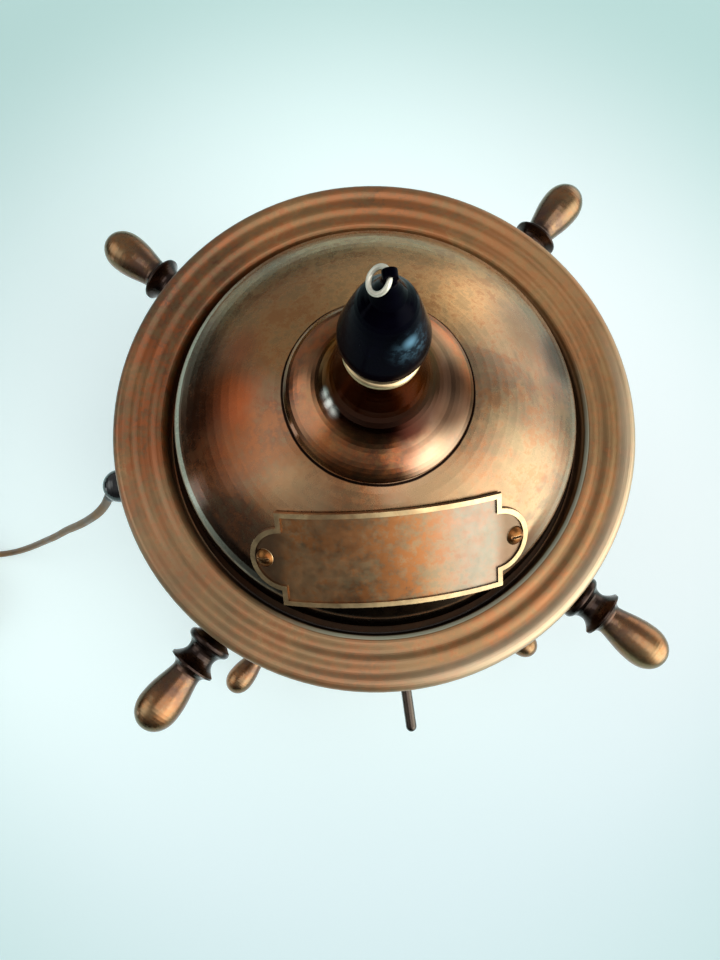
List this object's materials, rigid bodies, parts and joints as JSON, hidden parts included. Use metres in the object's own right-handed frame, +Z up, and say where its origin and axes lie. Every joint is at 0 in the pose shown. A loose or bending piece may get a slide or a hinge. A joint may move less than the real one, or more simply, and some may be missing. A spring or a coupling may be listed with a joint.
{
  "type": "ship lantern lamp",
  "caption": "Table lamp in the form of a ship's lantern, with wheel handles, a guarded glass, a lift-off domed cover, a mains cord and a plug.",
  "frame": {"origin": "on the lamp's axis, in the underside of the felt that it stands on", "axes": "+Z up along the lamp's axis, -Y towards the front with the nameplate and the switch lever, -X towards the cord entry"},
  "size_m": [0.524, 0.2639, 0.4809],
  "materials": {
    "aged_brass": "dark brown patina, rubbed bright on the edges",
    "turned_brass": "turned, aged to bronze brown",
    "bright_brass": "polished",
    "plate_brass": "dark patina, bare face",
    "nickel": "nickel plated",
    "black_wood": "ebonised and polished",
    "iron": "painted black",
    "steel": "zinc plated",
    "felt": "green felt",
    "gasket": "matt",
    "clear_glass": "clear",
    "opal_glass": "opal white",
    "black_plastic": "glossy black",
    "matt_plastic": "matt black",
    "pale_plastic": "off-white",
    "porcelain": "glazed white porcelain",
    "cap_metal": "satin",
    "cord": "brown flex",
    "lead": "sheathed leads"
  },
  "bodies": {
    "lamp": {"upper_ring": "aged_brass", "ring_screws": "bright_brass", "upper_wheel_band": "aged_brass", "upper_handle_front_right": "turned_brass", "upper_handle_rear_right": "turned_brass", "upper_handle_rear_left": "turned_brass", "upper_handle_front_left": "turned_brass", "upper_housing": "aged_brass", "glass_gaskets": "gasket", "glass_cylinder": "clear_glass", "guard_rods": "turned_brass", "rod_nuts": "bright_brass", "guard_hoops": "turned_brass", "lower_housing": "aged_brass", "housing_screws": "bright_brass", "lower_wheel_band": "aged_brass", "lower_handle_front_right": "turned_brass", "lower_handle_rear_right": "turned_brass", "lower_handle_rear_left": "turned_brass", "lower_handle_front_left": "turned_brass", "handle_nuts": "bright_brass", "lower_ring": "aged_brass", "base_weight": "iron", "base_screws": "steel", "base_felt": "felt", "lampholder_strap": "bright_brass", "strap_screws": "bright_brass", "lampholder_nipple": "bright_brass", "nipple_nuts": "bright_brass", "lampholder_cap": "matt_plastic", "lampholder_body": "matt_plastic", "lampholder_insert": "porcelain", "bulb_cap": "cap_metal", "bulb_glass": "opal_glass", "cord_gland": "black_plastic", "gland_nut": "black_plastic", "strain_relief": "matt_plastic", "terminal_block": "pale_plastic", "inner_leads": "lead", "switch_body": "matt_plastic", "switch_bush": "turned_brass", "switch_nut": "bright_brass", "cord": "cord", "cord_coil": "cord", "cord_tail": "cord", "plug_body": "matt_plastic", "plug_pins": "nickel"},
    "cover": {"cover_dome": "aged_brass", "cover_boss": "aged_brass", "neck_ring": "bright_brass", "top_knob": "black_wood", "knob_stud": "bright_brass", "knob_nut": "bright_brass", "nameplate": "plate_brass", "nameplate_screws": "bright_brass"},
    "top_ring": {"hanging_ring": "nickel"},
    "lever": {"switch_lever": "turned_brass"}
  },
  "joints": [
    {"name": "cover_lift", "type": "slide", "parent": "lamp", "child": "cover", "axis": [0, 0, 1], "range_m": [0, 0.06]},
    {"name": "ring_swing", "type": "hinge", "parent": "cover", "child": "top_ring", "pos_m": [0, 0, 0.47867], "axis": [0, 1, 0], "range_deg": [0, 264]},
    {"name": "switch_tilt", "type": "hinge", "parent": "lamp", "child": "lever", "pos_m": [0.00217, -0.10348, 0.268], "axis": [-0.9998, -0.0209, 0], "range_deg": [0, 16]}
  ]
}
